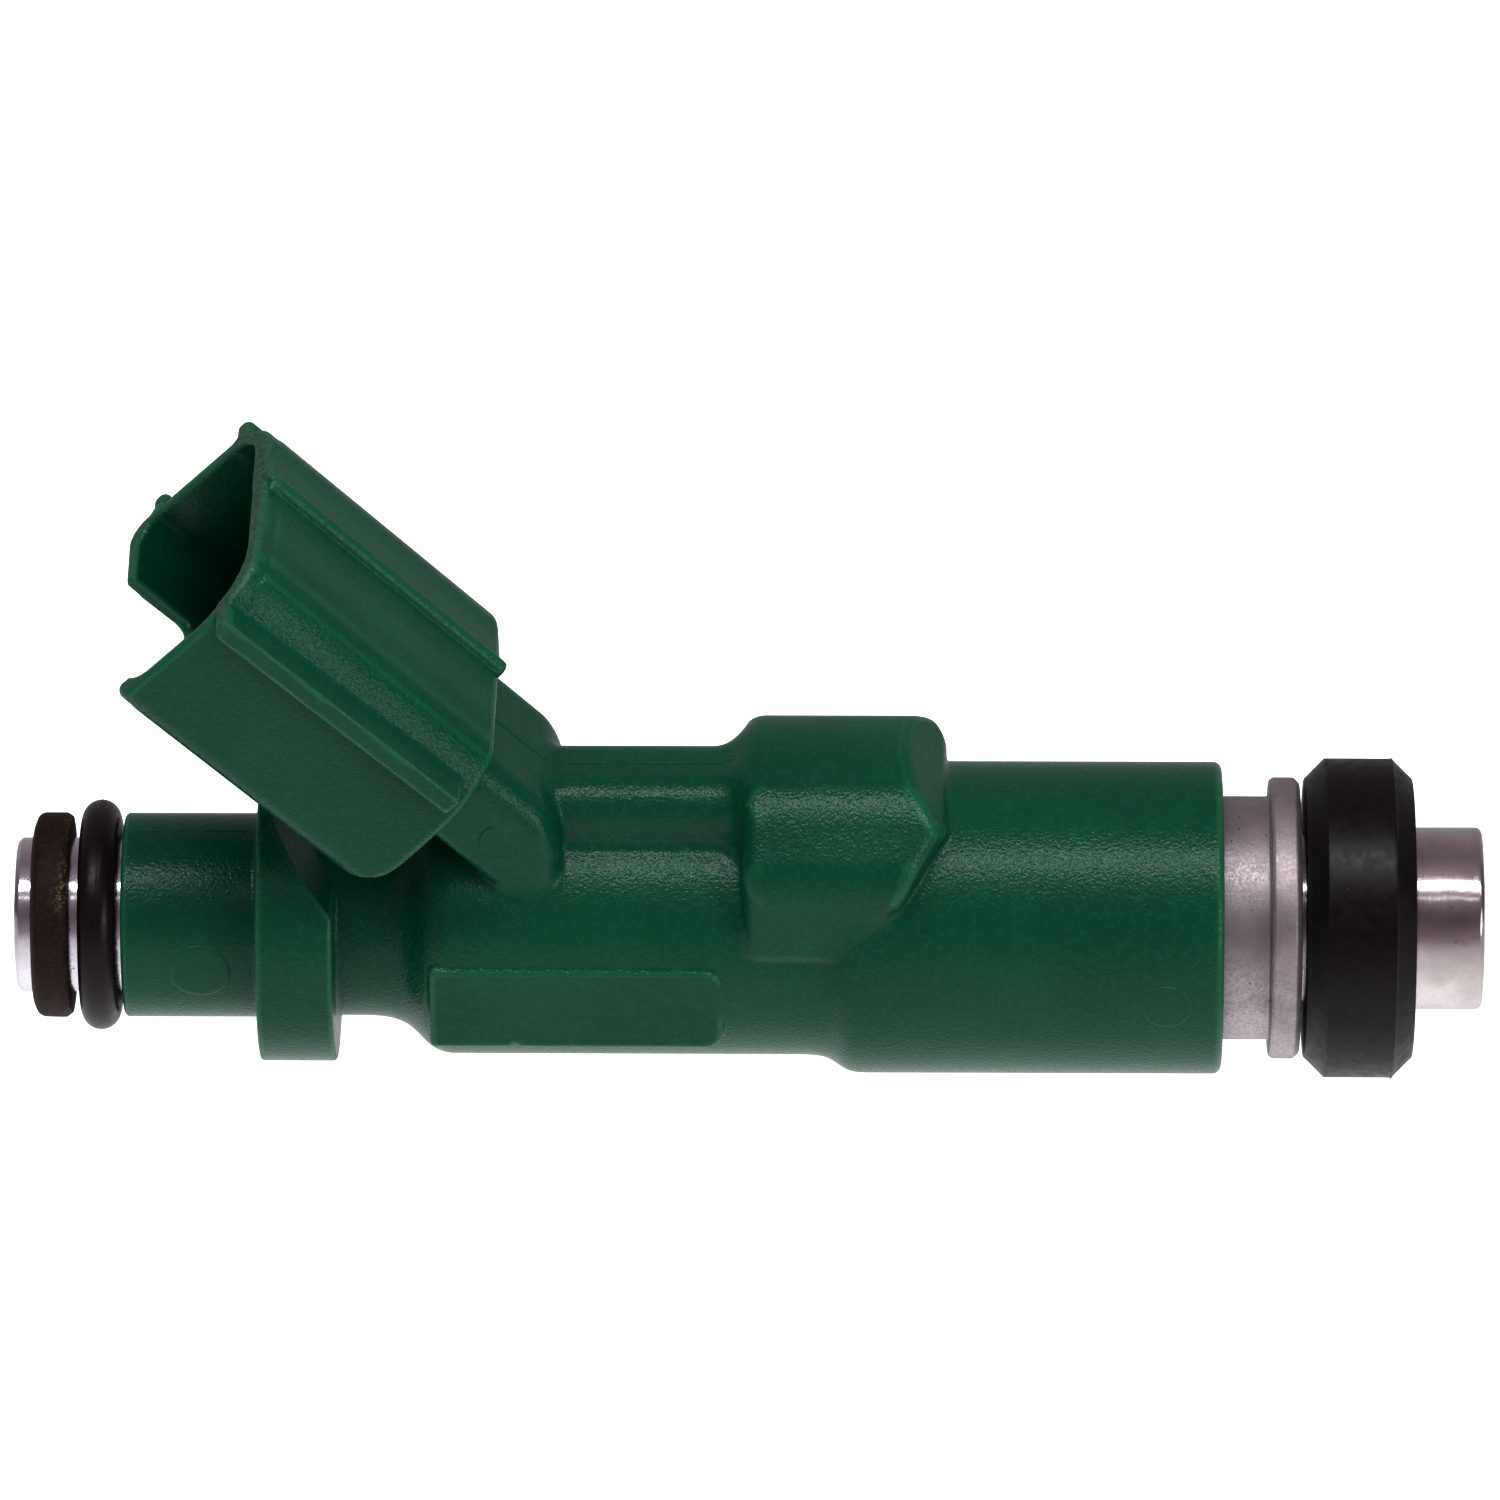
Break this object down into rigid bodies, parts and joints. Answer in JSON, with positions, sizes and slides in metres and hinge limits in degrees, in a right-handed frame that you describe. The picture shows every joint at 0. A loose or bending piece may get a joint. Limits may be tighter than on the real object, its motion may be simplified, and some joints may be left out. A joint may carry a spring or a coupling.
{
  "type": "fuel injector",
  "caption": "Top-feed port fuel injector: moulded plastic body with a slanted two-way socket, rail O-ring, steel housing, rubber insulator and solenoid needle valve.",
  "frame": {"origin": "on the injector's axis, in the middle of the manifold grommet's round wall", "axes": "+X along the axis towards the nozzle, +Z the side that the connector is on, +Y across"},
  "size_m": [0.0753, 0.0188, 0.0342],
  "materials": {
    "green_nylon": "fine spark-eroded grain",
    "tin_plated_brass": "tin plated",
    "bobbin_nylon": "moulded",
    "copper_wire": "enamelled",
    "core_steel": "turned",
    "filter_brass": "turned",
    "filter_nylon": "moulded",
    "filter_screen": "woven",
    "brown_ring": "worn",
    "seal_rubber": "satin",
    "grommet_rubber": "satin",
    "stainless": "ground",
    "spring_steel": "drawn",
    "magnetic_steel": "plated",
    "yoke_steel": "bead blasted",
    "nozzle_steel": "polished"
  },
  "bodies": {
    "injector": {"overmould_body": "green_nylon", "terminal_near": "tin_plated_brass", "terminal_far": "tin_plated_brass", "coil_bobbin": "bobbin_nylon", "coil_winding": "copper_wire", "inlet_core": "core_steel", "filter_collar": "filter_brass", "filter_frame": "filter_nylon", "filter_mesh": "filter_screen", "backup_ring": "brown_ring", "rail_o_ring": "seal_rubber", "adjusting_pipe": "stainless", "return_spring": "spring_steel", "guide_sleeve": "stainless", "flux_washer": "magnetic_steel", "yoke_housing": "yoke_steel", "upper_coil_seal": "seal_rubber", "lower_coil_seal": "seal_rubber", "valve_body": "stainless", "stop_plate": "stainless", "valve_seat": "stainless", "orifice_plate": "stainless", "nozzle_sleeve": "nozzle_steel", "lower_grommet": "grommet_rubber"},
    "valve_needle": {"armature": "magnetic_steel", "needle": "stainless", "valve_ball": "stainless"}
  },
  "joints": [
    {"name": "needle_lift", "type": "slide", "parent": "injector", "child": "valve_needle", "axis": [-1, 0, 0], "range_m": [0, 0.00008], "stiffness_N_per_m": 2000, "springref_m": -0.0016, "deforming": ["return_spring"]}
  ]
}
